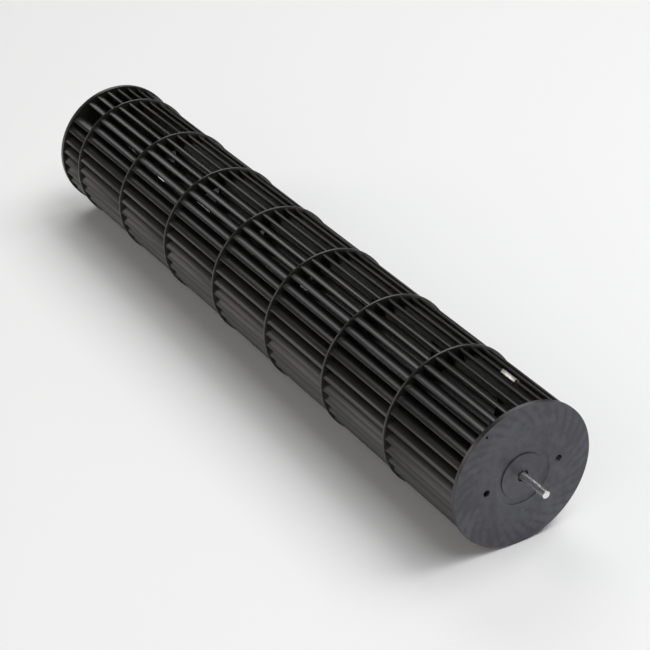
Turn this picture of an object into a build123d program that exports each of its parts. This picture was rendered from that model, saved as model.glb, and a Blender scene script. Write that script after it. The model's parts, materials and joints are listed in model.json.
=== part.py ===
"""Cross flow fan rotor: the long bladed drum that blows the air in a wall-mounted air conditioner.

The drum is a stack of injection-moulded pieces, ultrasonically welded end to end:
  motor_end_block     solid end disc, its hub and one row of short blades, one of them left out for a tool
  fan_block_1 .. 7    a support ring with long blades on one side, turned about half a pitch from the last
  shaft_end_plate     solid end disc with a hub that holds the steel shaft
Metal pieces: motor_boss and set_screw (grip the motor's shaft), bearing_shaft and balance_clip.

Frame: the spin axis is X, with the bearing shaft pointing along +X. Z is up as the drum lies.
The origin is the mouth of the motor bore, on the outer face of the motor end disc.
Angles round the drum are measured from +Z towards +Y. All sizes are in millimetres and degrees.
"""

from build123d import *
from math import acos, atan2, cos, degrees, hypot, radians, sin, sqrt
import os

# ---------------------------------------------------------------- drum
drum_radius = 48.0            # end discs and support rings
blade_setback = 0.6           # the blades stop just short of the rims
blade_depth = 10.6            # from a blade's tip in to its inner edge
ring_lip = 1.5                # the rings reach this far inside the blades
ring_thickness = 1.6
long_blade_length = 68.4
short_blade_length = 27.0
block_count = 7
rim_chamfer = 0.3             # support rings
rim_round = 0.3               # outer edge of the end discs

# ---------------------------------------------------------------- blades
blade_count = 34              # per row
blade_root_thickness = 1.5    # where a blade grows out of its ring or disc
blade_draft = 0.15            # mould taper on every side of a blade
blade_turn = 74.0             # how far the blade's middle line curves from inner edge to tip
row_angle = -11.5             # inner edge of the first blade of the motor end block
stagger = 0.476               # turn of each row against the last, in pitches
tool_gap_index = 32           # the short blade that is left out

# ---------------------------------------------------------------- end discs and hubs
disc_thickness = 3.4
channel_outer_radius = 19.2   # shallow channel in the outer face of both end discs
channel_inner_radius = 14.7
channel_depth = 1.0
plate_hub_radius = 9.0        # inner hub of the shaft end plate
plate_hub_length = 12.0
shaft_sink_radius = 3.7       # countersink round the shaft
shaft_sink_depth = 0.8
locating_hole_radius = 2.25
locating_hole_circle = 51.0   # diameter
locating_hole_angle = 83.2
dimple_radius = 1.6           # gate marks, on the same circle a quarter turn on
dimple_depth = 0.3
mark_radius = 0.9             # blind mark at the rim, in line with the set screw
mark_inset = 3.0              # its middle, from the rim
mark_depth = 1.5
motor_hub_radius = 12.5       # inner hub of the motor end disc
motor_hub_length = 9.0
hub_chamfer = 0.8

# ---------------------------------------------------------------- metal pieces
shaft_radius = 2.5
shaft_reach = 22.0            # outside the disc's outer face
shaft_seat = 13.0             # inside the plate
shaft_knurl_radius = 2.7      # knurled seat, moulded into the plate
shaft_chamfer = 0.4
shaft_neck_radius = 2.2       # the shaft narrows to this at the floor of the countersink
shaft_neck_length = 0.5
boss_radius = 8.0
boss_flange_radius = 10.0     # keyed flange, buried in the plastic hub
boss_flange_thickness = 3.0
boss_flange_start = 3.0
boss_flat_count = 8
boss_length = 24.0
motor_bore_radius = 4.0
bore_chamfer = 0.5
screw_radius = 2.5
screw_length = 8.0
screw_socket_across = 2.5     # hexagon, across flats
screw_socket_depth = 2.5
screw_clearance = 0.2         # screw tip to motor shaft
screw_station = 17.0          # along the axis
clip_length = 13.0
clip_thickness = 0.45
clip_grip = 3.6               # how far it reaches down the blade
clip_start = 31.0             # from the root of the blade that carries it
clip_blade_index = 0          # blade of the last block that carries the balance clip

# ---------------------------------------------------------------- worked out from the above
blade_outer_radius = drum_radius - blade_setback
blade_inner_radius = blade_outer_radius - blade_depth
ring_inner_radius = blade_inner_radius - ring_lip
pitch_angle = 360 / blade_count
block_length = ring_thickness + long_blade_length
first_ring = disc_thickness + short_blade_length
plate_inner_face = first_ring + block_count * block_length
plate_outer_face = plate_inner_face + disc_thickness


def curve_radius():
    """Radius of the blade's middle line, which leaves the inner edge straight outwards."""
    turn = radians(blade_turn)
    rise = blade_inner_radius * sin(turn)
    spread = 2 - 2 * cos(turn)
    squares = blade_outer_radius**2 - blade_inner_radius**2
    return (sqrt(rise**2 + spread * squares) - rise) / spread


blade_curve_radius = curve_radius()
curve_centre = (-blade_curve_radius, blade_inner_radius)


def across(station):
    """Drawing plane square to the axis: its x is Y and its y is Z."""
    return Plane.YZ.offset(station)


def round_bar(radius, start, end):
    """Solid cylinder on the spin axis."""
    return extrude(across(start) * Circle(radius), amount=end - start)


def turned(points):
    """Solid of revolution about the spin axis from (station, radius) points."""
    outline = Polyline([(station, radius, 0) for station, radius in points], close=True)
    return revolve(make_face(outline), axis=Axis.X)


def row_turn(row):
    """Angle of the first blade's inner edge in a row; row 0 is the motor end block."""
    return row_angle + row * stagger * pitch_angle


def tip_sweep(skin_radius):
    """Sweep from the inner edge to the blade's outer radius, for an arc of this radius."""
    centre_distance = hypot(*curve_centre)
    squares = centre_distance**2 + skin_radius**2 - blade_outer_radius**2
    opening = acos(squares / (2 * centre_distance * skin_radius))
    return degrees(opening - atan2(blade_inner_radius, blade_curve_radius))


def blade_span():
    """Angle at the spin axis that a blade's middle line covers, from inner edge to tip."""
    tip_back = blade_curve_radius * (1 - cos(radians(blade_turn)))
    tip_out = blade_inner_radius + blade_curve_radius * sin(radians(blade_turn))
    return degrees(atan2(tip_back, tip_out))


def curved_strip(inner, outer, start, sweep):
    """Band between two arcs about the centre of the blade's curve."""
    arcs = [CenterArc(curve_centre, radius, start, sweep) for radius in (inner, outer)]
    ends = [Line(arcs[0] @ end, arcs[1] @ end) for end in (0, 1)]
    return make_face(arcs + ends)


def blade_section():
    """Forward-curved blade with its inner edge at angle 0; its tip leans to smaller angles."""
    half = blade_root_thickness / 2
    back = blade_curve_radius + half
    return curved_strip(blade_curve_radius - half, back, 0, tip_sweep(back))


def blade_row(station, length, angle, left_out=()):
    """One row of tapered blades that grows from a face at this station towards +X."""
    blade = extrude(across(station) * blade_section(), amount=length, taper=blade_draft)
    kept = [number for number in range(blade_count) if number not in left_out]
    return [Rot(X=-(angle + number * pitch_angle)) * blade for number in kept]


def fan_block(number):
    """Support ring and the long blades that stand on it."""
    start = first_ring + (number - 1) * block_length
    end = start + ring_thickness
    ring = turned([
        (start, ring_inner_radius),
        (start, drum_radius - rim_chamfer),
        (start + rim_chamfer, drum_radius),
        (end - rim_chamfer, drum_radius),
        (end, drum_radius - rim_chamfer),
        (end, ring_inner_radius),
    ])
    return ring + blade_row(end, long_blade_length, row_turn(number))


def end_disc(outer_face, inward):
    """Solid disc with a rounded outer edge and a shallow channel; inward is +1 or -1 along X."""
    disc = extrude(across(outer_face) * Circle(drum_radius), amount=inward * disc_thickness)
    outer_edge = disc.edges().filter_by(GeomType.CIRCLE).sort_by(lambda edge: inward * edge.center().X)[0]
    disc = fillet(outer_edge, rim_round)
    channel = Circle(channel_outer_radius) - Circle(channel_inner_radius)
    return disc - extrude(across(outer_face) * channel, amount=inward * channel_depth)


def hub(face, inward, radius, length):
    """Round hub on the inner face of an end disc, with a chamfered end."""
    end = face + inward * length
    return turned([
        (face, 0),
        (face, radius),
        (end - inward * hub_chamfer, radius),
        (end, radius - hub_chamfer),
        (end, 0),
    ])


def on_circle(tool, diameter, angle):
    """A tool drawn on the spin axis, moved out to this angle on a circle."""
    return Rot(X=-angle) * Pos(Z=diameter / 2) * tool


def shaft_end_plate():
    plate = end_disc(plate_outer_face, -1)
    plate += hub(plate_inner_face, -1, plate_hub_radius, plate_hub_length)
    hole = round_bar(locating_hole_radius, plate_inner_face, plate_outer_face)
    dimple = round_bar(dimple_radius, plate_outer_face - dimple_depth, plate_outer_face)
    for side in (0, 180):
        plate -= on_circle(hole, locating_hole_circle, locating_hole_angle + side)
        plate -= on_circle(dimple, locating_hole_circle, locating_hole_angle + 90 + side)
    mark = round_bar(mark_radius, plate_outer_face - mark_depth, plate_outer_face)
    plate -= on_circle(mark, 2 * (drum_radius - mark_inset), screw_angle())
    sink = turned([
        (plate_outer_face - shaft_sink_depth, 0),
        (plate_outer_face - shaft_sink_depth, shaft_radius),
        (plate_outer_face, shaft_sink_radius),
        (plate_outer_face, 0),
    ])
    return plate - sink - bearing_shaft()


def bearing_shaft():
    """Ground steel pin; the knurled end is moulded into the plate's hub."""
    start = plate_outer_face - shaft_seat
    seat_end = plate_outer_face - shaft_sink_depth
    end = plate_outer_face + shaft_reach
    return turned([
        (start, 0),
        (start, shaft_knurl_radius - shaft_chamfer),
        (start + shaft_chamfer, shaft_knurl_radius),
        (seat_end, shaft_knurl_radius),
        (seat_end, shaft_neck_radius),
        (seat_end + shaft_neck_length, shaft_radius),
        (end - shaft_chamfer, shaft_radius),
        (end, shaft_radius - shaft_chamfer),
        (end, 0),
    ])


def screw_angle():
    """Where the set screw points: the middle of the gap that the left-out blade makes."""
    next_tip = row_turn(0) + (tool_gap_index + 1) * pitch_angle - blade_span()
    last_root = row_turn(0) + (tool_gap_index - 1) * pitch_angle
    return (next_tip + last_root) / 2


def radial_bar(section, inner, outer):
    """Bar of this section along the set screw's line, from one radius to another."""
    bar = extrude(Plane.XY.offset(inner) * section, amount=outer - inner)
    return Pos(X=screw_station) * Rot(X=-screw_angle()) * bar


def motor_boss():
    """Turned metal boss with a smooth bore; its flats are keyed into the plastic hub."""
    body = round_bar(boss_radius, 0, boss_length)
    octagon = RegularPolygon(boss_flange_radius, boss_flat_count, major_radius=False)
    flange = across(boss_flange_start) * octagon
    body += extrude(flange, amount=boss_flange_thickness)
    body -= round_bar(motor_bore_radius, 0, boss_length)
    end_edges = body.edges().filter_by(GeomType.CIRCLE).filter_by(Plane.YZ).group_by(Axis.X)[-1]
    body = chamfer(end_edges, bore_chamfer)
    return body - radial_bar(Circle(screw_radius), 0, boss_radius + 1)


def set_screw():
    tip = motor_bore_radius + screw_clearance
    head = tip + screw_length
    socket = RegularPolygon(screw_socket_across / 2, 6, major_radius=False)
    screw = radial_bar(Circle(screw_radius), tip, head)
    return screw - radial_bar(socket, head - screw_socket_depth, head)


def motor_end_block():
    block = end_disc(0, 1)
    block += hub(disc_thickness, 1, motor_hub_radius, motor_hub_length)
    block += blade_row(disc_thickness, short_blade_length, row_turn(0), left_out=[tool_gap_index])
    return block - round_bar(motor_bore_radius, 0, boss_length) - motor_boss()


def balance_clip():
    """Spring-steel channel pushed over the outer edge of one blade."""
    half = blade_root_thickness / 2
    skins = blade_curve_radius - half, blade_curve_radius + half
    sweep = tip_sweep(skins[1])
    grip = degrees(clip_grip / blade_curve_radius)
    cap = degrees(clip_thickness / blade_curve_radius)
    wrap = curved_strip(skins[0] - clip_thickness, skins[1] + clip_thickness, sweep - grip, grip + cap)
    wrap -= curved_strip(skins[0], skins[1], sweep - grip, grip)
    start = first_ring + (block_count - 1) * block_length + ring_thickness + clip_start
    clip = extrude(across(start) * wrap, amount=clip_length)
    return Rot(X=-(row_turn(block_count) + clip_blade_index * pitch_angle)) * clip


pieces = {
    "motor_end_block": motor_end_block(),
    "motor_boss": motor_boss(),
    "set_screw": set_screw(),
    "shaft_end_plate": shaft_end_plate(),
    "bearing_shaft": bearing_shaft(),
    "balance_clip": balance_clip(),
}
for number in range(1, block_count + 1):
    pieces[f"fan_block_{number}"] = fan_block(number)

os.makedirs("parts", exist_ok=True)
for name, piece in pieces.items():
    export_step(piece, f"parts/{name}.step")
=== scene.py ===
# %% [markdown]
# # Cross flow fan rotor
# This notebook dresses the CAD model of a long fan drum, the kind that hides behind the grille of a
# wall-mounted air conditioner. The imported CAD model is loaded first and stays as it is: it gives the
# places and sizes. Every piece that shows is then modelled round it, in metres, in the same frame.
# The spin axis is X, the bearing shaft points along +X, and Z is up.

# %% Load the frame
import json
from math import acos, atan2, cos, degrees, hypot, pi, radians, sin, tau

import bpy
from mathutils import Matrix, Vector

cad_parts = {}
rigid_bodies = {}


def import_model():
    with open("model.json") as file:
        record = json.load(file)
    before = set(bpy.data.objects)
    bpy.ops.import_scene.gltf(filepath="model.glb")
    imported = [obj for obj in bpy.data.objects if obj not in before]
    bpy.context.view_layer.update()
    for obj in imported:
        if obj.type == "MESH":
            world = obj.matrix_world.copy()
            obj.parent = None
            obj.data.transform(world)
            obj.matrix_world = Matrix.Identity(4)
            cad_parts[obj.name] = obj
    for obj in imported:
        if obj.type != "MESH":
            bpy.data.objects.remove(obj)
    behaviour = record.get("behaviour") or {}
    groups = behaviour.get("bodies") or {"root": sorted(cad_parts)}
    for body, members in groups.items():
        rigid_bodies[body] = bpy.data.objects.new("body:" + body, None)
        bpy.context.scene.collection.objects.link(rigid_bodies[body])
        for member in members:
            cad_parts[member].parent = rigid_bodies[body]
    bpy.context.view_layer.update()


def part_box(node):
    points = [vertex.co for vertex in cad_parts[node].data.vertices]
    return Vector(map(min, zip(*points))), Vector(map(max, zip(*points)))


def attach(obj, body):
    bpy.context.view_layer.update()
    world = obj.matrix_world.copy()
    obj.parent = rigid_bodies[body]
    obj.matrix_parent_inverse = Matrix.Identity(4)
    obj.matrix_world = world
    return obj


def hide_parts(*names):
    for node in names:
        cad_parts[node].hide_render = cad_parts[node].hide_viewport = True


bpy.ops.object.select_all(action="SELECT")
bpy.ops.object.delete()
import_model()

# %% [markdown]
# ## Sizes
# What the CAD boxes tell is read from them: how wide the drum is, where each row starts, and where the
# end plate and the shaft end. What a box can't tell is given here as named values: the details on the
# discs, and the section of a blade, which is curved a little tighter than in the CAD so that less light
# passes through the drum. Angles round the drum are measured from +Z towards +Y.

# %% Sizes read from the CAD boxes
MM = 0.001
HAIR = 0.01 * MM                # small enough not to show
BLOCK_COUNT = 7

motor_low, motor_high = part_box("motor_end_block")
block_low, block_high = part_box("fan_block_1")
_, plate_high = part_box("shaft_end_plate")
_, shaft_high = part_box("bearing_shaft")
boss_low, boss_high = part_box("motor_boss")
clip_low, clip_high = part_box("balance_clip")

drum_radius = plate_high.z
block_pitch = block_high.x - block_low.x
plate_face = plate_high.x
print("drum radius in mm:", round(drum_radius / MM, 2))
print("block pitch in mm:", round(block_pitch / MM, 2))

# %% Sizes of the blades and of the details on the discs
BLADE_COUNT = 34
PITCH = tau / BLADE_COUNT
BLADE_OUTER = 47.4 * MM
BLADE_INNER = 36.8 * MM
BLADE_CURVE = 9.7 * MM
BLADE_HALF = 0.82 * MM          # half the thickness at the root
BLADE_DRAFT = 0.12 * MM         # how much each side draws in along the blade
ROW_ANGLE = radians(-11.9)
STAGGER = 0.487 * PITCH
TOOL_GAP = 32                   # the short blade that is left out

DISC = 3.4 * MM
RING = 1.6 * MM
RING_INNER = 35.3 * MM
CHANNEL_OUTER = 19.2 * MM
CHANNEL_INNER = 14.7 * MM
HOLE_ANGLE = radians(83.2)
MARK_ANGLE = radians(-37.25)
SINK_RADIUS = 3.7 * MM
curve_centre = (0, -BLADE_CURVE, BLADE_INNER)


def tip_sweep(skin_radius, outer_radius):
    """Turn from the inner edge to an outer radius of the drum, along an arc of this radius."""
    reach = hypot(BLADE_CURVE, BLADE_INNER)
    opening = acos((reach**2 + skin_radius**2 - outer_radius**2) / (2 * reach * skin_radius))
    return opening - atan2(BLADE_INNER, BLADE_CURVE)


middle_turn = tip_sweep(BLADE_CURVE, BLADE_OUTER)
print("a blade's middle line turns through", round(degrees(middle_turn), 1), "degrees")

# %% [markdown]
# ## Camera
# The drum is seen from in front of its shaft end and a little above, through a long lens, so that the
# blade rows run away to the upper left. The camera comes first, because it shows at once whether the
# frame sits where it should.

# %% Camera
bpy.ops.object.camera_add(location=(1.1909, -0.5434, 0.6066))
camera = bpy.context.object
camera.name = "camera"
camera.data.lens = 101.2641
camera.data.sensor_width = 36
right = Vector((0.52435187, 0.85150168, 0))
up = Vector((-0.43481795, 0.26775943, 0.85978965))
back = right.cross(up)
for column, direction in enumerate((right, up, back)):
    for row in range(3):
        camera.matrix_world[row][column] = direction[row]
bpy.context.scene.camera = camera
print("camera at", [round(value, 3) for value in camera.matrix_world.translation])

# %% [markdown]
# ## Modelling helpers
# Blender's operators act on whatever is selected, and loading the frame leaves all its parts selected.
# So each step begins by deselecting everything. In edit mode the faces or points to work on are picked
# by their place, with a test on their middle point, just as one would click them in a viewport.

# %% Helpers for picking and shaping


def deselect():
    """Go to object mode with nothing selected."""
    if bpy.context.mode != "OBJECT":
        bpy.ops.object.mode_set(mode="OBJECT")
    bpy.ops.object.select_all(action="DESELECT")


def only(piece):
    """Select this object alone and make it active, in object mode."""
    deselect()
    piece.select_set(True)
    bpy.context.view_layer.objects.active = piece
    return piece


def pick(piece, kind, test):
    """Go to edit mode with just the faces, edges or points selected whose place passes the test."""
    only(piece)
    mesh = piece.data
    for group in (mesh.vertices, mesh.edges, mesh.polygons):
        group.foreach_set("select", [False] * len(group))
    if kind == "FACE":
        for face in mesh.polygons:
            face.select = test(face.center, face.normal)
    elif kind == "EDGE":
        for edge in mesh.edges:
            a, b = (mesh.vertices[index].co for index in edge.vertices)
            edge.select = test((a + b) / 2, (b - a).normalized())
    else:
        for vertex in mesh.vertices:
            vertex.select = test(vertex.co)
    bpy.ops.object.mode_set(mode="EDIT")
    bpy.ops.mesh.select_mode(type=kind)


def primitive(name, operator, **settings):
    """Add a primitive, name it and put its place into its mesh."""
    deselect()
    operator(**settings)
    piece = bpy.context.object
    piece.name = piece.data.name = name
    bpy.ops.object.transform_apply(location=True, rotation=True, scale=True)
    return piece


def radius_of(point):
    """Distance from the spin axis."""
    return hypot(point.y, point.z)


def inset(thickness, depth=0.0):
    """Inset the selected faces evenly; a depth lifts (or, if negative, sinks) what lies inside."""
    bpy.ops.mesh.inset(thickness=thickness, depth=depth)


def faces_ahead(piece):
    """Turn a flat sheet's faces to look along +X."""
    only(piece)
    if piece.data.polygons[0].normal.x < 0:
        bpy.ops.object.mode_set(mode="EDIT")
        bpy.ops.mesh.select_all(action="SELECT")
        bpy.ops.mesh.flip_normals()
        bpy.ops.object.mode_set(mode="OBJECT")


def join(name, pieces):
    """Join pieces into the first one, under this name."""
    only(pieces[0])
    for piece in pieces:
        piece.select_set(True)
    bpy.ops.object.join()
    pieces[0].name = pieces[0].data.name = name
    return pieces[0]


def cut(piece, cutters):
    """Subtract the cutters from a piece with a Boolean modifier, apply it, and remove them."""
    for cutter in cutters:
        only(piece)
        modifier = piece.modifiers.new("cut", "BOOLEAN")
        modifier.operation = "DIFFERENCE"
        modifier.solver = "EXACT"
        modifier.object = cutter
        bpy.ops.object.modifier_apply(modifier=modifier.name)
        bpy.data.objects.remove(cutter)


def finish_mesh(piece, crease=35, even=False):
    """Merge doubles, point the faces outwards and smooth all but the sharp edges.

    Where even is set, the big flat faces keep their own direction and only the small ones bend."""
    only(piece)
    bpy.ops.object.mode_set(mode="EDIT")
    bpy.ops.mesh.select_all(action="SELECT")
    bpy.ops.mesh.remove_doubles(threshold=1e-6)
    bpy.ops.mesh.normals_make_consistent(inside=False)
    bpy.ops.object.mode_set(mode="OBJECT")
    bpy.ops.object.shade_smooth_by_angle(angle=radians(crease))
    if even:
        modifier = piece.modifiers.new("even", "WEIGHTED_NORMAL")
        modifier.weight = 100
        modifier.keep_sharp = True
        bpy.ops.object.modifier_apply(modifier=modifier.name)
    return piece


# %% [markdown]
# ## One blade
# Each blade is a thin, forward-curved plate that grows out of its ring, with a small fillet at the root
# and a slight mould taper towards its free end. It could be extruded from a drawn outline, but it is
# quicker to turn one short edge round the centre of the curve: that gives the section as a strip of
# faces. The strip is drawn wider by the fillet's width, and insets with a depth step it in to the root's
# fillet, raise it along the axis and narrow it evenly, so one operator gives the tapered body and the
# next the softened free end.

# %% Section of a blade, as a strip of faces


def blade_strip(name, station, half, margin, steps):
    """The blade's curved section, wider and longer by the margin, in a plane across the axis."""
    width = 2 * (half + margin)
    strip = primitive(name, bpy.ops.mesh.primitive_plane_add, size=1, rotation=(0, pi / 2, 0))
    bpy.ops.object.mode_set(mode="EDIT")
    bpy.ops.transform.resize(value=(1, width, width))
    bpy.ops.transform.translate(value=(station, 0, BLADE_INNER + width / 2))
    pick(strip, "VERT", lambda point: point.z > BLADE_INNER + width / 2)
    bpy.ops.mesh.delete(type="VERT")
    bpy.ops.mesh.select_all(action="SELECT")
    centre = (station, curve_centre[1], curve_centre[2])
    lead = margin / BLADE_CURVE
    sweep = tip_sweep(BLADE_CURVE + half + margin, BLADE_OUTER + margin)
    bpy.ops.mesh.spin(steps=steps, angle=lead + sweep, center=centre, axis=(-1, 0, 0))
    bpy.ops.mesh.select_all(action="SELECT")
    bpy.ops.transform.rotate(value=lead, orient_axis="X", center_override=centre)
    faces_ahead(strip)
    return strip


# %% One whole blade
FILLET = ((0.35 * MM, 0.15 * MM), (0.15 * MM, 0.40 * MM))     # inset and rise of its two steps
FILLET_WIDTH = sum(width for width, rise in FILLET)
FILLET_RISE = sum(rise for width, rise in FILLET)
ROOT_SINK = 0.1 * MM
END_CHAMFER = 0.12 * MM
TIP_ROUND = 0.34 * MM
TIP_BAND = 2.6 * MM             # the long edges this near the tip are rounded,
EDGE_BAND = 1.2 * MM            # and those this near the inner edge


def blade(name, root, length):
    """A blade that stands on the face at station root and is this long."""
    piece = blade_strip(name, root - ROOT_SINK, BLADE_HALF, FILLET_WIDTH, steps=5)
    pick(piece, "FACE", lambda place, normal: True)
    for width, rise in FILLET:
        inset(width, rise)
    inset(BLADE_DRAFT, length + ROOT_SINK - FILLET_RISE - END_CHAMFER)
    inset(END_CHAMFER, END_CHAMFER)
    root_plane = root - ROOT_SINK + HAIR
    pick(piece, "EDGE", lambda place, direction: place.x < root_plane and abs(direction.x) < 0.5)
    bpy.ops.mesh.edge_face_add()
    radii = [radius_of(vertex.co) for vertex in piece.data.vertices]
    near_tip = max(radii) - TIP_BAND
    near_edge = min(radii) + EDGE_BAND
    pick(
        piece,
        "EDGE",
        lambda place, direction: abs(direction.x) > 0.4
        and not near_edge < radius_of(place) < near_tip,
    )
    bpy.ops.mesh.bevel(offset=TIP_ROUND, segments=2, affect="EDGES")
    return finish_mesh(piece)


# %% [markdown]
# ## Blade rows
# The blades of a row are moulded in one with their ring, all alike and evenly spaced. One blade is
# modelled and copied round the axis by Spin with duplicates, which is quicker and more even than placing
# copies by hand. Each row is turned a little less than half a pitch against the last one,
# so that the blades don't all pass the casing's tongue at once and the fan doesn't whistle.

# %% A row of blades


def turn_about_axis(piece, angle):
    """Turn a finished piece round the spin axis; positive angles go from +Z towards +Y."""
    only(piece)
    piece.rotation_euler.x = -angle
    bpy.ops.object.transform_apply(location=True, rotation=True, scale=True)


def blade_row(name, root, length, angle):
    """All the blades of one row, standing on the face at station root."""
    row = blade(name, root, length)
    pick(row, "FACE", lambda place, normal: True)
    bpy.ops.mesh.spin(
        steps=BLADE_COUNT - 1,
        dupli=True,
        use_auto_merge=False,
        angle=tau - PITCH,
        center=(0, 0, 0),
        axis=(-1, 0, 0),
    )
    turn_about_axis(row, angle)
    return row


# %% [markdown]
# ## Support rings
# Each fan block stands on a thin ring with softened edges. Its profile is a small rectangle: a plane
# scaled to size, its corners bevelled, then spun once round the axis and merged where it closes.

# %% One support ring
ROUND_STEPS = 4 * BLADE_COUNT
RING_EDGE = 0.3 * MM


def support_ring(name, start, thickness):
    """Flat ring from this station on, out to the drum's radius."""
    ring = primitive(name, bpy.ops.mesh.primitive_plane_add, size=1, rotation=(pi / 2, 0, 0))
    width = drum_radius - RING_INNER
    bpy.ops.object.mode_set(mode="EDIT")
    bpy.ops.transform.resize(value=(thickness, 1, width))
    bpy.ops.transform.translate(value=(start + thickness / 2, 0, RING_INNER + width / 2))
    bpy.ops.mesh.select_all(action="SELECT")
    bpy.ops.mesh.bevel(offset=RING_EDGE, segments=2, affect="VERTICES")
    bpy.ops.mesh.select_all(action="SELECT")
    bpy.ops.mesh.delete(type="ONLY_FACE")
    bpy.ops.mesh.select_all(action="SELECT")
    bpy.ops.mesh.spin(steps=ROUND_STEPS, angle=tau, center=(0, 0, 0), axis=(1, 0, 0))
    return finish_mesh(ring)


# %% The seven fan blocks
long_blade = block_pitch - RING
pieces = {}


def row_angle(row):
    """How far a row is turned; row 0 is the motor end block."""
    return ROW_ANGLE + row * STAGGER


first_block = join(
    "fan_block_1_moulding",
    [
        support_ring("ring", block_low.x, RING),
        blade_row("blades", block_low.x + RING, long_blade, row_angle(1)),
    ],
)
pieces["fan_block_1"] = first_block
for number in range(2, BLOCK_COUNT + 1):
    only(first_block)
    bpy.ops.object.duplicate(linked=False)
    block = bpy.context.object
    block.name = block.data.name = f"fan_block_{number}_moulding"
    block.location.x = (number - 1) * block_pitch
    turn_about_axis(block, row_angle(number) - row_angle(1))
    pieces[f"fan_block_{number}"] = block
print("faces in a fan block:", len(first_block.data.polygons))

# %% [markdown]
# ## End discs
# Both ends are closed by a solid disc, moulded with a shallow channel round the middle and a hub on the
# inside. A disc is a cylinder whose flat face is inset again and again: each inset is a circle in the
# moulding, and its depth sinks the channel or raises the hub. At the shaft end the back of the disc also
# steps in, so that the rim stands out behind the last row. The outer rim and the channel's lips are then
# bevelled, because the soft edges are what catch the light.

# %% A disc with its channel and hub
RIM_ROUND = 0.3 * MM
SHOULDER = 1.4 * MM             # how much of the shaft end's disc steps in behind its rim
SHOULDER_STEP = 0.7 * MM
CHANNEL_DEPTH = 0.8 * MM
WALL_SLOPE = 0.12 * MM          # widths of the channel's inner and outer walls
OUTER_SLOPE = 0.9 * MM
LIP_ROUND = 0.10 * MM
HUB_CHAMFER = 0.8 * MM
HUB_DRAFT = 0.05 * MM


def end_disc(name, face, facing, hub_radius, hub_length, shoulder):
    """Disc with its outer face at this station, which looks along +X (facing 1) or -X (facing -1)."""
    disc = primitive(
        name,
        bpy.ops.mesh.primitive_cylinder_add,
        vertices=ROUND_STEPS,
        radius=drum_radius,
        depth=DISC - shoulder,
        location=(face - facing * (DISC - shoulder) / 2, 0, 0),
        rotation=(0, pi / 2, 0),
    )
    pick(disc, "FACE", lambda place, normal: normal.x * facing > 0.9)
    inset(drum_radius - CHANNEL_OUTER)
    inset(OUTER_SLOPE, -CHANNEL_DEPTH)
    inset(CHANNEL_OUTER - CHANNEL_INNER - OUTER_SLOPE - WALL_SLOPE)
    inset(WALL_SLOPE, CHANNEL_DEPTH)
    pick(disc, "FACE", lambda place, normal: normal.x * facing < -0.9 and radius_of(place) < MM)
    if shoulder:
        inset(SHOULDER_STEP)
        inset(HAIR, shoulder)
        inset(drum_radius - SHOULDER_STEP - HAIR - hub_radius)
    else:
        inset(drum_radius - hub_radius)
    inset(HUB_DRAFT, hub_length - HUB_CHAMFER)
    inset(HUB_CHAMFER, HUB_CHAMFER)
    return disc


def at_circle(radius, station=None, slack=0.05 * MM):
    """Test for edges that run round the axis at this radius, and at this station if it is given."""

    def test(place, direction):
        near = abs(radius_of(place) - radius) < slack and abs(direction.x) < 0.5
        return near and (station is None or abs(place.x - station) < slack)

    return test


def soften(disc, face):
    """Round the rim at the outer face and the lips of its channel."""
    pick(disc, "EDGE", at_circle(drum_radius, face))
    bpy.ops.mesh.bevel(offset=RIM_ROUND, segments=3, affect="EDGES")
    for lip in (CHANNEL_OUTER, CHANNEL_INNER):
        pick(disc, "EDGE", at_circle(lip, face))
        bpy.ops.mesh.bevel(offset=LIP_ROUND, segments=2, affect="EDGES")


# %% [markdown]
# ## Shaft end plate
# In the middle the disc is countersunk round the steel shaft, so the face is inset to the countersink's
# rim and sunk to its floor. Two through holes take the pins of the assembly jig, two faint dimples show
# where the plastic was fed in, and a small blind hole near the rim marks where the set screw points.
# These are cut with Boolean modifiers. The cutters flare at the face, which gives the holes soft lips.

# %% Cutters
LIP_FLARE = 0.2 * MM
FLARE_STEP = 0.12 * MM          # the flare is a cone this wide, then nearly flat out to its rim
FLARE_RISE = 0.02 * MM
OVER = 0.5 * MM                 # how far a cutter stands out of the face


def drill(radius, bottom, face, place_radius, angle):
    """Cutter for a round hole with a flared mouth, from the bottom station to the face."""
    cutter = primitive(
        "cutter",
        bpy.ops.mesh.primitive_cylinder_add,
        vertices=40,
        radius=radius,
        depth=face - LIP_FLARE - bottom,
        location=((face - LIP_FLARE + bottom) / 2, 0, place_radius),
        rotation=(0, pi / 2, 0),
    )
    pick(cutter, "FACE", lambda place, normal: normal.x > 0.9)
    inset(-FLARE_STEP, LIP_FLARE - FLARE_RISE)
    inset(FLARE_STEP - LIP_FLARE, FLARE_RISE)
    inset(HAIR, OVER)
    turn_about_axis(cutter, angle)
    return cutter


def dimple_cutter(radius, depth, face, place_radius, angle):
    """Ball that leaves a shallow dish of this radius and depth."""
    ball_radius = (radius**2 + depth**2) / (2 * depth)
    ball = primitive(
        "cutter",
        bpy.ops.mesh.primitive_uv_sphere_add,
        segments=64,
        ring_count=48,
        radius=ball_radius,
        location=(face - depth + ball_radius, 0, place_radius),
        rotation=(0, pi / 2, 0),
    )
    turn_about_axis(ball, angle)
    return ball


# %% The plate
HOLE_CIRCLE = 25.5 * MM
HOLE_RADIUS = 2.25 * MM
DIMPLE_RADIUS = 1.6 * MM
DIMPLE_DEPTH = 0.25 * MM
MARK_CIRCLE = 45.0 * MM
MARK_RADIUS = 0.9 * MM
MARK_DEPTH = 1.5 * MM
PLATE_HUB = (9.0 * MM, 12.0 * MM)   # radius and length
SINK_DEPTH = 1.4 * MM
SINK_WALL = 0.2 * MM            # how far the countersink's wall leans in

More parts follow.
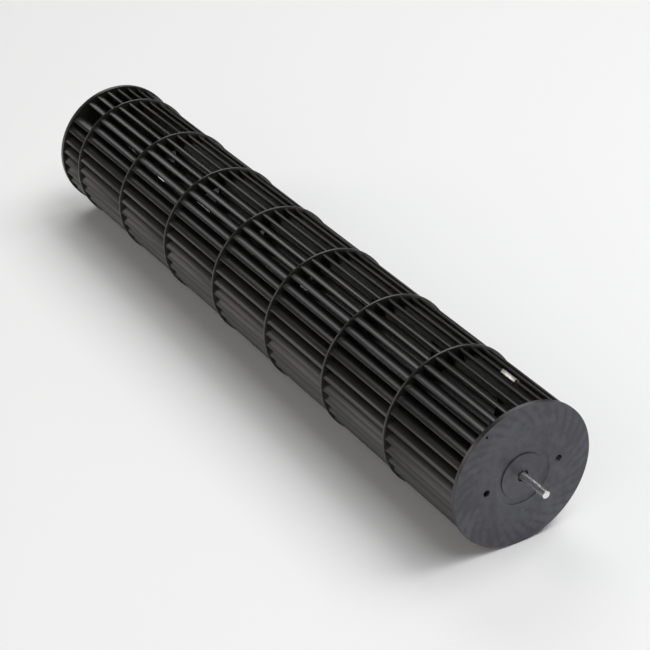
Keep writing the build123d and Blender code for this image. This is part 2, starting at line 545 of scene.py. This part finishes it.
plate = end_disc("shaft_end_plate_moulding", plate_face, 1, *PLATE_HUB, SHOULDER)
pick(plate, "FACE", lambda place, normal: normal.x > 0.9 and radius_of(place) < MM)
inset(CHANNEL_INNER - WALL_SLOPE - SINK_RADIUS)
inset(SINK_WALL, -SINK_DEPTH)
soften(plate, plate_face)
pick(plate, "EDGE", at_circle(SINK_RADIUS, plate_face, 0.3 * MM))
bpy.ops.mesh.bevel(offset=LIP_ROUND, segments=2, affect="EDGES")
cutters = [drill(MARK_RADIUS, plate_face - MARK_DEPTH, plate_face, MARK_CIRCLE, MARK_ANGLE)]
behind_plate = plate_face - DISC - MM
for side in (0, pi):
    hole = HOLE_ANGLE + side
    cutters.append(drill(HOLE_RADIUS, behind_plate, plate_face, HOLE_CIRCLE, hole))
    dish = hole + pi / 2
    cutters.append(dimple_cutter(DIMPLE_RADIUS, DIMPLE_DEPTH, plate_face, HOLE_CIRCLE, dish))
cut(plate, cutters)
finish_mesh(plate, crease=50, even=True)
pieces["shaft_end_plate"] = plate
print("faces in the shaft end plate:", len(plate.data.polygons))

# %% [markdown]
# ## Motor end block
# The other end disc carries the row of short blades and, in its hub, the metal boss. The hole for the
# boss is opened by bridging the outer and inner faces. One blade is left out, so that a hexagon key can
# reach the set screw: its place in the row is picked by angle, grown to the whole blade and deleted.

# %% The motor end block
MOTOR_HUB = (12.5 * MM, 9.0 * MM)   # radius and length
BOSS_RADIUS = 8.0 * MM
short_blade = motor_high.x - DISC

motor_disc = end_disc("motor_end_block_moulding", motor_low.x, -1, *MOTOR_HUB, 0)
for side in (-1, 1):
    pick(
        motor_disc,
        "FACE",
        lambda place, normal: normal.x * side > 0.9 and radius_of(place) < MM,
    )
    middle = CHANNEL_INNER - WALL_SLOPE if side < 0 else MOTOR_HUB[0] - HUB_CHAMFER - HUB_DRAFT
    inset(middle - BOSS_RADIUS)
pick(motor_disc, "FACE", lambda place, normal: abs(normal.x) > 0.9 and radius_of(place) < MM)
bpy.ops.mesh.bridge_edge_loops()
soften(motor_disc, motor_low.x)
finish_mesh(motor_disc, crease=50, even=True)

short_row = blade_row("short_blades", motor_low.x + DISC, short_blade, row_angle(0))
gap_middle = row_angle(0) + (TOOL_GAP - 0.1) * PITCH
gap_point = Vector((0, sin(gap_middle), cos(gap_middle))) * (BLADE_INNER + 2 * MM)
nearest = min(
    short_row.data.vertices,
    key=lambda vertex: hypot(vertex.co.y - gap_point.y, vertex.co.z - gap_point.z),
)
pick(short_row, "VERT", lambda point: (point - nearest.co).length < HAIR)
bpy.ops.mesh.select_linked()
bpy.ops.mesh.delete(type="VERT")
pieces["motor_end_block"] = join("motor_end_block_moulding", [motor_disc, short_row])
print("faces in the motor end block:", len(pieces["motor_end_block"].data.polygons))

# %% [markdown]
# ## Bearing shaft
# The shaft is a ground and polished steel pin. A cylinder would do, but a real pin shows its work: a
# rounded chamfer at the end, and a short conical neck where it enters the plate. So the rim of the end
# face is bevelled, and the face at the root is drawn in by an inset with a depth.

# %% The shaft
SHAFT_RADIUS = 2.5 * MM
SHAFT_CHAMFER = 0.4 * MM
NECK_RADIUS = 2.2 * MM
NECK_LENGTH = 0.5 * MM
NECK_ROUND = 0.08 * MM
SHAFT_ROOT = 6 * MM             # how far the neck goes on inside the plate
neck_end = plate_face - 0.3 * MM
shaft_end = shaft_high.x

shaft = primitive(
    "bearing_shaft_pin",
    bpy.ops.mesh.primitive_cylinder_add,
    vertices=72,
    radius=SHAFT_RADIUS,
    depth=shaft_end - neck_end,
    location=((shaft_end + neck_end) / 2, 0, 0),
    rotation=(0, pi / 2, 0),
)
pick(shaft, "FACE", lambda place, normal: normal.x < -0.9)
inset(SHAFT_RADIUS - NECK_RADIUS, NECK_LENGTH)
inset(0.1 * HAIR, SHAFT_ROOT)
pick(shaft, "EDGE", at_circle(SHAFT_RADIUS, shaft_end))
bpy.ops.mesh.bevel(offset=SHAFT_CHAMFER, segments=3, profile=0.4, affect="EDGES")
pick(shaft, "EDGE", at_circle(SHAFT_RADIUS, neck_end))
bpy.ops.mesh.bevel(offset=NECK_ROUND, segments=2, affect="EDGES")
finish_mesh(shaft, crease=50, even=True)
pieces["bearing_shaft"] = shaft

# %% [markdown]
# ## Motor boss and set screw
# The boss is a turned aluminium bush with chamfered mouths, cross-drilled for the set screw. The screw
# is a small black cylinder with a hexagon socket. Bush and screw both start as cylinders; the bore is
# bridged open, and the socket and the cross hole are cut.

# %% The boss and the screw
CLEARANCE = 0.02 * MM           # keeps metal and plastic skins apart
BUSH_RADIUS = BOSS_RADIUS - CLEARANCE
BUSH_CHAMFER = 0.3 * MM
BORE_RADIUS = 4.0 * MM
BORE_CHAMFER = 0.2 * MM
SCREW_RADIUS = 2.5 * MM
SCREW_STATION = 17.0 * MM
SCREW_TIP = 4.2 * MM
SCREW_LENGTH = 8.0 * MM
SOCKET_RADIUS = 1.25 * MM / cos(pi / 6)
SOCKET_DEPTH = 2.5 * MM


def radial_cylinder(name, radius, inner, outer, vertices):
    """Upright cylinder at the set screw's station, between two distances from the spin axis."""
    return primitive(
        name,
        bpy.ops.mesh.primitive_cylinder_add,
        vertices=vertices,
        radius=radius,
        depth=outer - inner,
        location=(SCREW_STATION, 0, (inner + outer) / 2),
    )


boss = primitive(
    "motor_boss_bush",
    bpy.ops.mesh.primitive_cylinder_add,
    vertices=96,
    radius=BUSH_RADIUS,
    depth=boss_high.x - boss_low.x,
    location=((boss_high.x + boss_low.x) / 2, 0, 0),
    rotation=(0, pi / 2, 0),
)
pick(boss, "FACE", lambda place, normal: abs(normal.x) > 0.9)
wall = BUSH_RADIUS - BORE_RADIUS - BORE_CHAMFER
bpy.ops.mesh.inset(thickness=wall, use_individual=True)
bpy.ops.mesh.inset(thickness=BORE_CHAMFER, depth=-BORE_CHAMFER, use_individual=True)
bpy.ops.mesh.bridge_edge_loops()
for station in (boss_low.x, boss_high.x):
    pick(boss, "EDGE", at_circle(BUSH_RADIUS, station))
    bpy.ops.mesh.bevel(offset=BUSH_CHAMFER, segments=2, affect="EDGES")
cross_hole = radial_cylinder("cutter", SCREW_RADIUS, 0, BOSS_RADIUS + MM, 48)
turn_about_axis(cross_hole, MARK_ANGLE)
cut(boss, [cross_hole])
finish_mesh(boss, crease=50, even=True)
pieces["motor_boss"] = boss

screw_head = SCREW_TIP + SCREW_LENGTH
screw = radial_cylinder("set_screw_body", SCREW_RADIUS - CLEARANCE, SCREW_TIP, screw_head, 48)
pick(screw, "EDGE", lambda place, direction: abs(direction.z) < 0.5)
bpy.ops.mesh.bevel(offset=BUSH_CHAMFER, segments=2, affect="EDGES")
socket = radial_cylinder("cutter", SOCKET_RADIUS, screw_head - SOCKET_DEPTH, screw_head + MM, 6)
cut(screw, [socket])
turn_about_axis(screw, MARK_ANGLE)
finish_mesh(screw, crease=50, even=True)
pieces["set_screw"] = screw

# %% [markdown]
# ## Balance clip
# After assembly the drum is balanced: a spring-steel channel is pushed over the tip of one blade, where
# the drum is light. Its section follows the blade, so the blade's strip is made again with a little
# clearance, trimmed to the part near the tip and extruded. Without its end faces it is a thin channel,
# which Solidify turns into sheet steel.

# %% The clip
CLIP_GRIP = 3.5 * MM
CLIP_SHEET = 0.36 * MM
CLIP_CLEARANCE = 0.03 * MM
CLIP_ROUND = 0.09 * MM
clip_length = clip_high.x - clip_low.x

clip = blade_strip("balance_clip_channel", clip_low.x, BLADE_HALF, CLIP_CLEARANCE, steps=20)
grip_line = max(radius_of(vertex.co) for vertex in clip.data.vertices) - CLIP_GRIP
pick(clip, "FACE", lambda place, normal: radius_of(place) < grip_line)
bpy.ops.mesh.delete(type="FACE")
pick(clip, "FACE", lambda place, normal: True)
bpy.ops.mesh.extrude_region_move(TRANSFORM_OT_translate={"value": (clip_length, 0, 0)})
inner_edge = min(radius_of(vertex.co) for vertex in clip.data.vertices)
pick(
    clip,
    "FACE",
    lambda place, normal: abs(normal.x) > 0.9 or radius_of(place) < inner_edge + 0.12 * MM,
)
bpy.ops.mesh.delete(type="FACE")
finish_mesh(clip)
pieces["balance_clip"] = clip
turn_about_axis(clip, row_angle(BLOCK_COUNT))
only(clip)
sheet = clip.modifiers.new("sheet", "SOLIDIFY")
sheet.thickness = CLIP_SHEET
sheet.offset = 1
sheet.use_even_offset = True
bpy.ops.object.modifier_apply(modifier=sheet.name)
rounding = clip.modifiers.new("rounding", "BEVEL")
rounding.width = CLIP_ROUND
rounding.segments = 2
rounding.limit_method = "ANGLE"
rounding.angle_limit = radians(50)
bpy.ops.object.modifier_apply(modifier=rounding.name)
finish_mesh(clip, crease=40)
for axis in range(3):
    places = [vertex.co[axis] / MM for vertex in clip.data.vertices]
    ends = [round(min(places), 2), round(max(places), 2)]
    box = [round(clip_low[axis] / MM, 2), round(clip_high[axis] / MM, 2)]
    print("clip in mm along", "XYZ"[axis], ends, "in the CAD", box)

# %% [markdown]
# ## Shader maths
# The finishes are worked out from numbers that vary over the surface, such as noise or the distance
# from the axis. A small class wraps a node's socket, so that an ordinary Python expression on wrapped
# values adds the Math nodes behind it. One method adds any other node.

# %% A wrapped value and a finish


class Value:
    """A number that varies over the surface; + - * and ** add Math nodes."""

    def __init__(self, finish, socket):
        self.finish = finish
        self.socket = socket

    def math(self, operation, *others):
        values = dict(enumerate((self, *others)))
        return self.finish.node("ShaderNodeMath", {"operation": operation}, values)

    def __add__(self, other):
        return self.math("ADD", other)

    __radd__ = __add__

    def __sub__(self, other):
        return self.math("SUBTRACT", other)

    def __mul__(self, other):
        return self.math("MULTIPLY", other)

    def __pow__(self, other):
        return self.math("POWER", other)


class Finish:
    """A material under construction."""

    def __init__(self, name, **constants):
        self.material = bpy.data.materials.new(name)
        self.material.use_nodes = True
        self.tree = self.material.node_tree
        self.shader = self.tree.nodes["Principled BSDF"]
        for socket, constant in constants.items():
            self.shader.inputs[socket.replace("_", " ")].default_value = constant

    def node(self, kind, settings, values, output=0):
        """Add a node: its settings first, then the values or links of its sockets."""
        node = self.tree.nodes.new(kind)
        for setting, value in settings.items():
            setattr(node, setting, value)
        for socket, value in values.items():
            self.feed(node.inputs[socket], value)
        return Value(self, node.outputs[output])

    def feed(self, socket, value):
        """Link a varying value to a socket, or set a constant on it."""
        if isinstance(value, Value):
            self.tree.links.new(value.socket, socket)
        else:
            socket.default_value = value

    def place(self):
        """Where the shaded point is on the object, in metres."""
        return self.node("ShaderNodeTexCoord", {}, {}, output="Object")

    def stretched(self, scale):
        """The place, stretched by these factors along X, Y and Z."""
        return self.node("ShaderNodeMapping", {}, {"Vector": self.place(), "Scale": scale})

    def noise(self, vector, scale, detail=3.0, roughness=0.5):
        values = {"Vector": vector, "Scale": scale, "Detail": detail, "Roughness": roughness}
        return self.node("ShaderNodeTexNoise", {}, values)

    def ramp(self, value, low, high, start=0.0, end=1.0):
        """The value, rescaled smoothly from low..high to start..end."""
        settings = {"interpolation_type": "SMOOTHSTEP"}
        values = {"Value": value, 1: low, 2: high, 3: start, 4: end}
        return self.node("ShaderNodeMapRange", settings, values)

    def blend(self, factor, first, second):
        """Mix of two colours, each a tuple or itself a mix."""
        first, second = (
            colour if isinstance(colour, Value) else (*colour, 1) for colour in (first, second)
        )
        values = {"Factor": factor, 6: first, 7: second}
        return self.node("ShaderNodeMix", {"data_type": "RGBA"}, values, output=2)

    def bump(self, height, distance):
        """Normals of a relief this deep, in metres."""
        return self.node("ShaderNodeBump", {}, {"Height": height, "Distance": distance})

    def set(self, **sockets):
        """Feed the main shader's sockets."""
        for socket, value in sockets.items():
            self.feed(self.shader.inputs[socket.replace("_", " ")], value)


# %% [markdown]
# ## Black fan plastic
# The drum is moulded in black plastic filled with glass fibre. It is darker and a little shinier than it
# looks at first: most of its grey is soft reflection. A single roughness would look like rubber, so fine
# noise breaks the gloss and noise drawn out along the axis gives the blades their drag marks. The face of
# the shaft end plate is mottled, and its colour is painted paler and bluer there: painted light, for the
# light that the face catches from the pale floor. Faint slanting streaks near the rim, where the blades
# stand behind it, are sink marks in relief, and their shade is painted in as a darker colour.

# %% The plastic
STREAK_LEAN = radians(12.5)     # how far a streak slants between the blades' inner edges and tips

plastic = Finish("black_fan_plastic", IOR=1.6)
where = plastic.place()
x, y, z = (
    plastic.node("ShaderNodeSeparateXYZ", {}, {"Vector": where}, output=axis) for axis in "XYZ"
)
from_axis = (y * y + z * z) ** 0.5
clouds = plastic.noise(where, 38.0, detail=4.0, roughness=0.6)
blotches = plastic.noise(where, 170.0, detail=3.0, roughness=0.55)
speckle = plastic.noise(where, 900.0, detail=3.0, roughness=0.7)
grain = plastic.noise(where, 2600.0, detail=2.0)
drag = plastic.noise(plastic.stretched((7, 520, 520)), 1.0, detail=3.0, roughness=0.6)

behind_edge = plastic.ramp(from_axis, drum_radius - 0.05 * MM, drum_radius - 0.3 * MM)
on_face = plastic.ramp(x, plate_face - 1.4 * MM, plate_face - 1.0 * MM) * behind_edge
lean = (from_axis - BLADE_INNER) * (STREAK_LEAN / (BLADE_OUTER - BLADE_INNER))
blade_phase = (y.math("ARCTAN2", z) + lean - row_angle(BLOCK_COUNT)) * BLADE_COUNT
past_middle = plastic.ramp(from_axis, 29 * MM, 41 * MM)
before_rim = plastic.ramp(from_axis, 47.8 * MM, 46.2 * MM)
# Sink marks behind the blades: relief in the bump, and painted shade where they darken the colour.
sink_marks_and_painted_shade = (blade_phase.math("SINE") * 0.5 + 0.5) ** 2 * (past_middle * before_rim) * on_face

flow = (clouds * 0.50 + blotches * 0.40 + speckle * 0.10) * on_face
wear = drag * 0.6 + clouds * 0.4
marks = wear - wear * on_face
# Subtracting the streaks darkens the colour along the sink marks: painted shade.
tone = plastic.ramp(flow + marks - sink_marks_and_painted_shade * 0.12, 0.38, 0.60)
dark = plastic.blend(tone, (0.0085, 0.0079, 0.0074), (0.0175, 0.0160, 0.0148))
# Painted light: the end plate's face gets a paler, bluish colour for the light it catches from the floor.
painted_lit_face_colour = plastic.blend(tone, (0.0230, 0.0232, 0.0340), (0.0620, 0.0630, 0.0800))
plastic.set(
    Base_Color=plastic.blend(on_face, dark, painted_lit_face_colour),
    Roughness=0.25 + clouds * 0.10 + drag * 0.08 + grain * 0.05 - on_face * 0.04,
    Normal=plastic.bump(grain * 0.4 + clouds * 2.0 + drag * 0.8 + sink_marks_and_painted_shade * 1.4, 0.02 * MM),
)

# %% [markdown]
# ## Metals
# The bearing pin is ground and polished. Its grinding marks are finer than a relief can show, so a very
# fine noise leans the surface to and fro along the axis, which draws the lamps' reflections out into a
# streak. The turned bush has coarser rings that run round the axis, the set screw is blackened, and the
# balance clip is bright zinc with a soft spangle.

# %% The four metals


def ringed_metal(name, colour, roughness, ring_scale, ring_depth=0.0):
    """Metal with tool marks that run round the X axis, in its gloss and, if given a depth, in relief."""
    metal = Finish(name, Metallic=1.0)
    rings = metal.noise(metal.stretched((ring_scale, 12, 12)), 1.0, detail=1.0)
    smear = metal.noise(metal.place(), 160.0, detail=3.0)
    darker = tuple(0.86 * part for part in colour)
    metal.set(
        Base_Color=metal.blend(metal.ramp(smear, 0.35, 0.65), darker, colour),
        Roughness=roughness * 0.7 + rings * roughness * 0.5 + smear * 0.05,
    )
    if ring_depth:
        metal.set(Normal=metal.bump(rings, ring_depth))
    return metal


aluminium = ringed_metal("turned_aluminium", (0.60, 0.60, 0.61), 0.28, 2600, 0.01 * MM)
oxide = ringed_metal("black_oxide_steel", (0.060, 0.058, 0.056), 0.38, 1500, 0.01 * MM)

steel = ringed_metal("polished_shaft_steel", (0.80, 0.79, 0.77), 0.32, 5200)
grinding = (steel.noise(steel.place(), 30000.0, detail=0.0) - 0.5) * 1.4
surface = steel.node("ShaderNodeNewGeometry", {}, {}, output="Normal")
lean_along = steel.node("ShaderNodeCombineXYZ", {}, {"X": grinding})
steel.set(
    Normal=steel.node("ShaderNodeVectorMath", {"operation": "ADD"}, {0: surface, 1: lean_along})
)

zinc = Finish("zinc_plated_spring_steel", Metallic=1.0)
spangle = zinc.node("ShaderNodeTexVoronoi", {}, {"Vector": zinc.place(), "Scale": 900.0})
haze = zinc.noise(zinc.place(), 300.0, detail=4.0)
zinc.set(
    Base_Color=zinc.blend(zinc.ramp(haze, 0.3, 0.7), (0.70, 0.69, 0.66), (0.86, 0.85, 0.82)),
    Roughness=0.26 + haze * 0.14 + spangle * 0.08,
    Normal=zinc.bump(haze, 0.02 * MM),
)

# %% [markdown]
# ## Dress the frame
# Each piece takes its finish and rides with the one body of the drum, and the CAD node that it stands
# for is hidden.

FINISHES = {
    "bearing_shaft": (steel, "shaft_steel"),
    "motor_boss": (aluminium, "boss_metal"),
    "set_screw": (oxide, "screw_steel"),
    "balance_clip": (zinc, "clip_steel"),
}
for node, piece in pieces.items():
    finish, slot = FINISHES.get(node, (plastic, "fan_plastic"))
    piece.data.materials.clear()
    piece.data.materials.append(finish.material)
    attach(piece, "root")
    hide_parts(node)
print("dressed", len(pieces), "pieces")

# %% [markdown]
# ## Studio
# The drum lies on a pale floor under five soft square lamps: the key behind it and to the right, one
# above its shaft end, one behind its far end for the blades' tips, and a warm fill and a front lamp on
# the camera's side. The floor is a plain matt sheet. For the camera and for reflections alone it is paler
# towards the shaft end, so that the picture gets its even ground without more light on the drum.

# %% Floor and lamps
middle = (0.26, 0, 0)
floor = primitive(
    "studio_floor",
    bpy.ops.mesh.primitive_plane_add,
    size=12,
    location=(0.25, 0, -drum_radius),
)
ground = Finish("studio_floor_sheet", Roughness=0.9)
ground.set(Base_Color=(0.80, 0.80, 0.80, 1))
floor.data.materials.append(ground.material)
to_camera = ground.node("ShaderNodeLightPath", {}, {}, output="Is Camera Ray")
reflected = ground.node("ShaderNodeLightPath", {}, {}, output="Is Glossy Ray")
along = ground.node("ShaderNodeSeparateXYZ", {}, {"Vector": ground.place()}, output="X")
share = to_camera.math("MAXIMUM", reflected) * ground.ramp(along, -0.8, 0.9, 0.30, 1.0)
plain_sheet = Value(ground, ground.shader.outputs[0])
pale_sheet = ground.node("ShaderNodeBsdfDiffuse", {}, {"Color": (0.99, 0.99, 0.99, 1)})
shown = ground.node("ShaderNodeMixShader", {}, {0: share, 1: plain_sheet, 2: pale_sheet})
ground.tree.links.new(shown.socket, ground.tree.nodes["Material Output"].inputs["Surface"])


def softbox(name, place, aim, size, power, colour=(1, 1, 1)):
    """Square area lamp that looks at a point."""
    direction = Vector(aim) - Vector(place)
    turn = direction.to_track_quat("-Z", "Y").to_euler()
    bpy.ops.object.light_add(type="AREA", location=place, rotation=turn)
    lamp = bpy.context.object
    lamp.name = lamp.data.name = name
    lamp.data.size = size
    lamp.data.energy = power
    lamp.data.color = colour


softbox("key_light", (0.70, 1.84, 2.94), middle, 2.0, 60)
softbox("top_light", (1.50, 0.20, 2.50), (0.95, 0, 0), 1.6, 22)
softbox("rim_light", (-1.15, 0.80, 1.38), middle, 1.45, 12)
softbox("fill_light", (-1.00, -1.70, 0.85), middle, 1.1, 8.5, colour=(1.0, 0.93, 0.86))
softbox("front_light", (1.60, -1.90, 1.30), middle, 2.0, 10)
world = bpy.data.worlds.new("studio_air")
world.use_nodes = True
background = world.node_tree.nodes["Background"]
background.inputs["Color"].default_value = (0.93, 0.96, 1.0, 1)
background.inputs["Strength"].default_value = 0.09
bpy.context.scene.world = world
bpy.context.scene.view_settings.view_transform = "Standard"
